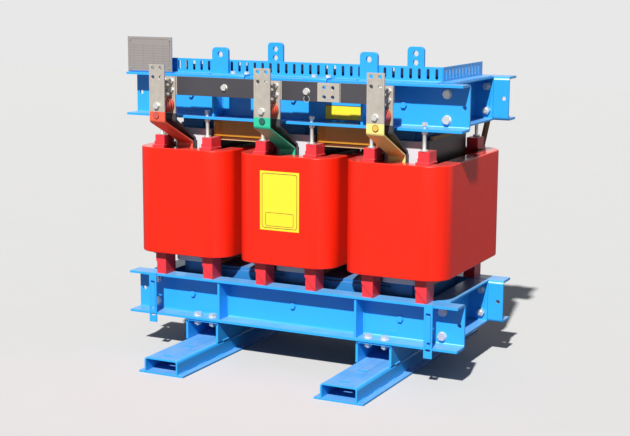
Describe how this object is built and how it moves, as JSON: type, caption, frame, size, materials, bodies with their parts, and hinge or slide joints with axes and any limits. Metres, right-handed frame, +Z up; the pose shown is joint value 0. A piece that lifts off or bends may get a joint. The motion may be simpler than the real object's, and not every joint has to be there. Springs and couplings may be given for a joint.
{
  "type": "dry type transformer",
  "caption": "Cast-resin dry type power transformer with an open core frame, low-voltage bars on the front, skid feet and lifting lugs.",
  "frame": {"origin": "on the floor under the middle of the core", "axes": "+X along the row of coils, -Y towards the low-voltage side, +Z up"},
  "size_m": [1.25, 1.05, 1.113],
  "materials": {
    "amber_sheet": "translucent laminate",
    "bar_sleeve": "heat-shrink sleeve",
    "bar_tinned": "tinned",
    "bar_u": "red band on tinned bar",
    "bar_v": "green band on tinned bar",
    "bar_w": "yellow band on tinned bar",
    "bare_plate": "bare",
    "block_resin": "cast resin",
    "board": "pressed board",
    "brass_stud": "bare",
    "coil_light": "resin-dipped winding",
    "coil_resin": "cast resin, satin",
    "core_blue": "brushed-on paint",
    "hv_sleeve": "insulating sleeve",
    "label_yellow": "plastic sheet",
    "paint_blue": "semi-gloss enamel",
    "zinc_bolt": "zinc plated"
  },
  "bodies": {
    "root": {"bar_sleeves": "bar_sleeve", "barrier_sheets": "amber_sheet", "barrier_strips": "board", "block_pads": "block_resin", "bottom_clamp_front": "paint_blue", "bottom_clamp_rear": "paint_blue", "bottom_end_bolts": "zinc_bolt", "bottom_end_member_left": "paint_blue", "bottom_end_member_right": "paint_blue", "bracket_bolts": "zinc_bolt", "coil_label": "label_yellow", "core": "core_blue", "foot_bolts": "zinc_bolt", "foot_spacer_left": "paint_blue", "foot_spacer_right": "paint_blue", "hv_coil_u": "coil_resin", "hv_coil_v": "coil_resin", "hv_coil_w": "coil_resin", "hv_connections": "hv_sleeve", "hv_posts": "block_resin", "hv_tap_links": "brass_stud", "hv_tap_studs": "brass_stud", "hv_terminals": "brass_stud", "label_plate": "label_yellow", "lifting_lugs": "paint_blue", "low_blocks": "block_resin", "lv_bar_bolts": "zinc_bolt", "lv_bar_u": "bar_u", "lv_bar_v": "bar_v", "lv_bar_w": "bar_w", "lv_coil_u": "coil_light", "lv_coil_v": "coil_light", "lv_coil_w": "coil_light", "lv_insulators": "block_resin", "nameplate": "bare_plate", "nameplate_bracket": "paint_blue", "nameplate_rivets": "bare_plate", "neutral_bar": "bar_tinned", "neutral_brackets": "paint_blue", "neutral_terminal_pad": "bar_tinned", "packing": "board", "press_studs": "zinc_bolt", "skid_foot_left": "paint_blue", "skid_foot_right": "paint_blue", "slotted_flats": "paint_blue", "star_bar_u": "bar_tinned", "star_bar_v": "bar_tinned", "star_bar_w": "bar_tinned", "tie_bolts": "paint_blue", "tie_plates": "core_blue", "top_blocks": "block_resin", "top_clamp_front": "paint_blue", "top_clamp_rear": "paint_blue", "top_end_bolts": "zinc_bolt", "top_end_member_left": "paint_blue", "top_end_member_right": "paint_blue", "top_yoke": "core_blue", "tray_ends": "paint_blue", "tray_front": "paint_blue"}
  },
  "joints": []
}
